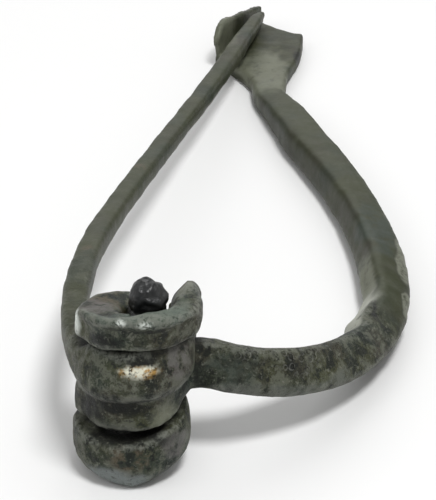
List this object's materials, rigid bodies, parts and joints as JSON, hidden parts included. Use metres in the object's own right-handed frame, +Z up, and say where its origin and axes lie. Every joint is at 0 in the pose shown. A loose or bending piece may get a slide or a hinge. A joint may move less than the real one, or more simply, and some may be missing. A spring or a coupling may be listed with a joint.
{
  "type": "fibula brooch",
  "caption": "Ancient sprung bow brooch wound from one bar of bronze, with a pin, a coiled spring, a bent bow and a flat foot whose edge folds up as the catch.",
  "frame": {"origin": "the middle of the part's box, on the surface it lies on", "axes": "+Y from the spring to the foot, +X from the pin to the bow, +Z up from the surface, along the spring's axis"},
  "size_m": [0.0182, 0.0532, 0.0101],
  "materials": {
    "patinated_bronze": "dark olive-green patina, half-glossy on the spring, worn pale on the highest spots",
    "rusted_iron": "dark, pitted, rusted and snapped at the top"
  },
  "bodies": {
    "root": {"brooch": "patinated_bronze", "axis_rod": "rusted_iron"}
  },
  "joints": []
}
